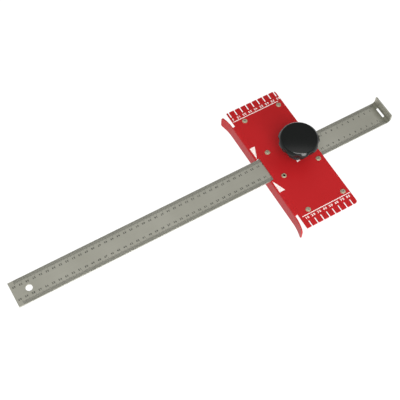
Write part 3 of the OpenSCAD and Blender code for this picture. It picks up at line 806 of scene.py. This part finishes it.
def softLess(a, b, width):
    # the smaller of two radii, rounded over the given width where they cross
    near = np.clip(width - np.abs(a - b), 0, None) / width
    return np.minimum(a, b) - near ** 2 * width / 4


def fluted(outer, away):
    # a flute leans with the skirt as far as the rim and then stands upright; away is the angle from its middle
    noCut = 99.0
    part = np.clip((outer[:, 1] - knob["skirt"]) / (knob["rim"] - knob["skirt"]), 0, 1)
    bottom, top = knob["skirtRadius"] - knob["fluteSkirt"], knob["rimRadius"] - knob["fluteRim"]
    axis = (bottom + (top - bottom) * part + knob["fluteRadius"])[:, None]
    inside = knob["fluteRadius"] ** 2 - (axis * np.sin(away)) ** 2
    cut = np.where(inside > 0, axis * np.cos(away) - np.sqrt(np.clip(inside, 0, None)), noCut)
    return softLess(outer[:, :1] + 0 * away, cut, knob["soften"])


def knobRibs(step):
    # ribs from the hub to the skirt, one behind each flute: an upright sheet turned about the clamp's axis
    loop = roundedLoop([(x, z, rib["corner"]) for x, z in rib["corners"]])
    flat, faces, _ = sheetForm([loop], [softEdge(rib["thick"], rib["edge"], 0)], np.array(rib["net"]))
    turn = np.radians(knob["firstLobe"]) + (np.arange(knob["lobes"]) + 0.5) * step
    out, across = flat[:, 0], flat[:, 2] - rib["thick"] / 2
    points = np.stack([clampX + np.outer(np.cos(turn), out) + np.outer(np.sin(turn), across),
                       np.outer(np.sin(turn), out) - np.outer(np.cos(turn), across),
                       np.repeat(flat[None, :, 1], knob["lobes"], 0)], -1).reshape(-1, 3)
    base = np.arange(knob["lobes"])[:, None, None] * len(flat)
    return points, [(base + some[None]).reshape(-1, some.shape[1]) for some in faces]


def makeKnob():
    # radius is a function of angle and height: a flared skirt and a bevelled shoulder, cut by round flutes that
    # fade out on the shoulder
    columns, skirt, rim, crown = knob["columns"], knob["skirt"], knob["rim"], knob["crown"]
    turn = np.linspace(0, 2 * np.pi, columns, endpoint=False)
    step = 2 * np.pi / knob["lobes"]
    away = (turn - np.radians(knob["firstLobe"])) % step - step / 2
    inner = np.vstack([hollow["bore"], quarterArc(*hollow["hubEdge"], -90), [hollow["hubWall"]],
                       quarterArc(*hollow["hubFillet"], 180, -1), quarterArc(*hollow["skirtFillet"], 90, -1),
                       hollow["mouth"]])
    quarter = np.linspace(0, np.pi / 2, fine["quarter"])
    footZ = skirt + knob["footRound"] * (1 - np.cos(quarter))
    flare = (knob["rimRadius"] - knob["skirtRadius"]) * (footZ - skirt) / (rim - skirt)
    foot = np.column_stack([knob["skirtRadius"] + flare, footZ])
    footRadius = fluted(foot, away) - knob["footRound"] * (1 - np.sin(quarter))[:, None]
    # the shoulder is a bevel with soft ends: powers of cosine and sine between a round and a straight corner
    bend = np.linspace(0, knob["bevelTurn"], knob["bevelRows"])
    (deep, high), power = knob["bevel"], knob["bevelPower"]
    shoulder = np.column_stack([knob["rimRadius"] - deep * (1 - np.cos(bend) ** power),
                                rim + high * np.sin(bend) ** power])
    side = np.vstack([np.linspace(foot[-1], shoulder[0], knob["sideRows"])[1:-1], shoulder])
    # the crown falls with the square of the distance from the axis
    brim, brimZ = shoulder[-1]
    domeRadius = brim * np.cos(np.linspace(0, np.pi / 2, knob["crownRows"])[1:])
    domeZ = crown - (crown - brimZ) * (domeRadius / brim) ** 2
    radius = np.vstack([np.repeat(inner[:, :1], columns, 1), footRadius, fluted(side, away),
                        np.repeat(domeRadius[:, None], columns, 1)])
    height = np.concatenate([inner[:, 1], footZ, side[:, 1], domeZ])
    points, (ribs, ribFaces) = clampRings(radius, height, turn), knobRibs(step)
    faces = [gridFaces(len(height), columns)] + [len(points) + some for some in ribFaces]
    # the grip is matt up to the rim, the shoulder and crown are glossy
    matt = np.concatenate([np.ones(len(inner) + len(footZ)), np.clip((rim - side[:, 1]) / knob["mattFade"], 0, 1),
                           np.zeros(len(domeZ))])
    matt = np.concatenate([np.repeat(matt, columns), np.ones(len(ribs))])
    return closePoles(makePiece("lobedKnob", np.vstack([points, ribs]), faces, black, "knob", ["knob"],
                                sharp=50, marks=matt))


makeBoss()
makeScrew()
makeKnob()
print("clamp made")

# sole: moulded block under the plate, with a pocket for each rivet's tail

sole = {"left": 4.8, "right": 86.0, "half": 97.0, "corners": (14.0, 4.0), "thick": 4.0, "edge": 0.6, "margin": 0.2,
        "hole": 2.05, "chamfer": 0.2, "pocket": 4.0, "pocketDeep": 2.2,
        "mouth": [(0.25, 0), (0.07, 0.07), (0, 0.25)]}  # the pocket's rounded mouth, as inset and height
soleNet = {"outline": 6.0, "hole": 36, "rows": (12, 80, 11.0), "along": (88, 11.0), "holeRoom": 6}


def makeSole():
    # a thick sheet whose holes have a stepped profile
    outline = boxLoop(sole["left"], sole["right"], sole["half"], *sole["corners"], soleNet["outline"])
    step, deep, thick, cut = sole["hole"] - sole["pocket"], sole["pocketDeep"], sole["thick"], sole["chamfer"]
    stepped = np.vstack([sole["mouth"], [(0, deep), (step, deep), (step, thick - cut), (step + cut, thick)]])
    holes = [holeLoop(x, y, sole["pocket"], soleNet["hole"]) for x, y in allRivets]
    net = clearOf(netPoints(np.arange(*soleNet["rows"]), bothWays(*soleNet["along"])), allRivets, soleNet["holeRoom"])
    edge = softEdge(thick, sole["edge"], sole["margin"])
    points, faces, _ = sheetForm([outline] + holes, [edge] + [stepped] * len(holes), net)
    return evenShading(makePiece("glideBlock", points, faces, sliding, "head", ["glide_sole"],
                                 sharp=50))


makeSole()

# solids that are right as they are, with their own finish
rings = [f"{kind}_{i}" for kind in ("guide_bush", "end_spacer") for i in (1, 2, 3, 4)]
for node, finish in [("pressure_pad", brass)] + [(ring, zinc) for ring in rings]:
    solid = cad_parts[node].data
    solid.materials.clear()
    solid.materials.append(finish)
print("sole and small solids finished")

# studio: white floor, a sky that is brightest at the horizon, a narrow upright light in front and two broad soft ones

studio = {"floorDrop": 0.05, "floorSize": 40000.0, "floorGlow": 0.95,
          "horizon": 0.65, "zenith": 0.22, "skyRise": (0.05, 0.65), "aim": (40, 0, 0),
          "lamps": [((-60, -1360, 620), 560, 900, 8.5), ((-500, -900, 1500), 1300, 1300, 20.0),
                    ((100, -300, 1700), 2400, 2400, 9.0)]}  # where it hangs, its width and height, its watts


def whiteCard(add, place):
    # matt white card, lit from within a little so that it stays white under the object
    grain = add("TexNoise", {"Scale": perMetre(30), "Detail": 2.0}, {"Vector": place})
    tint = add("Mix", {"data_type": "RGBA", fromColour: linear("#6A6A6A"), toColour: linear("#707070")}, {mixBy: grain})
    return ({"Roughness": 0.9, "Emission Color": (1, 1, 1, 1), "Emission Strength": studio["floorGlow"]},
            {"Base Color": tint.outputs[colourOut]})


def makeStudio():
    # floor, sky and lamps, which all look at the head
    size, z = studio["floorSize"] / 2, levels["fenceFoot"] - studio["floorDrop"]
    corners = [(-size, -size), (size, -size), (size, size), (-size, size)]
    mesh = bpy.data.meshes.new("studioFloor")
    mesh.from_pydata([(x * mm, y * mm, z * mm) for x, y in corners], [], [(0, 1, 2, 3)])
    mesh.materials.append(mixMaterial("whiteCard", whiteCard))
    floor = bpy.data.objects.new("studioFloor", mesh)
    scene.collection.objects.link(floor)
    sky = bpy.data.worlds.new("studioSky")
    sky.use_nodes = True
    tree = sky.node_tree
    tree.nodes.clear()
    add = partial(addNode, tree)
    part = add("SeparateXYZ", links={"Vector": add("TexCoord").outputs["Generated"]})
    low, high = studio["skyRise"]
    glow = add("MapRange", {"From Min": low, "From Max": high, "To Min": studio["horizon"], "To Max": studio["zenith"]},
               {"Value": part.outputs["Z"]})
    add("OutputWorld", links={"Surface": add("Background", {"Color": (1, 1, 1, 1)}, {"Strength": glow})})
    scene.world = sky
    for i, (spot, wide, tall, power) in enumerate(studio["lamps"]):
        lamp = bpy.data.lights.new(f"softLamp{i}", "AREA")
        lamp.shape = "ELLIPSE"
        lamp.size, lamp.size_y = wide * mm, tall * mm
        lamp.energy = power
        holder = bpy.data.objects.new(f"softLamp{i}", lamp)
        scene.collection.objects.link(holder)
        aim = Vector([c * mm for c in studio["aim"]]) - Vector(spot) * mm
        holder.matrix_world = Matrix.Translation(Vector(spot) * mm) @ aim.to_track_quat("-Z", "Y").to_matrix().to_4x4()


makeStudio()
print("studio lit")
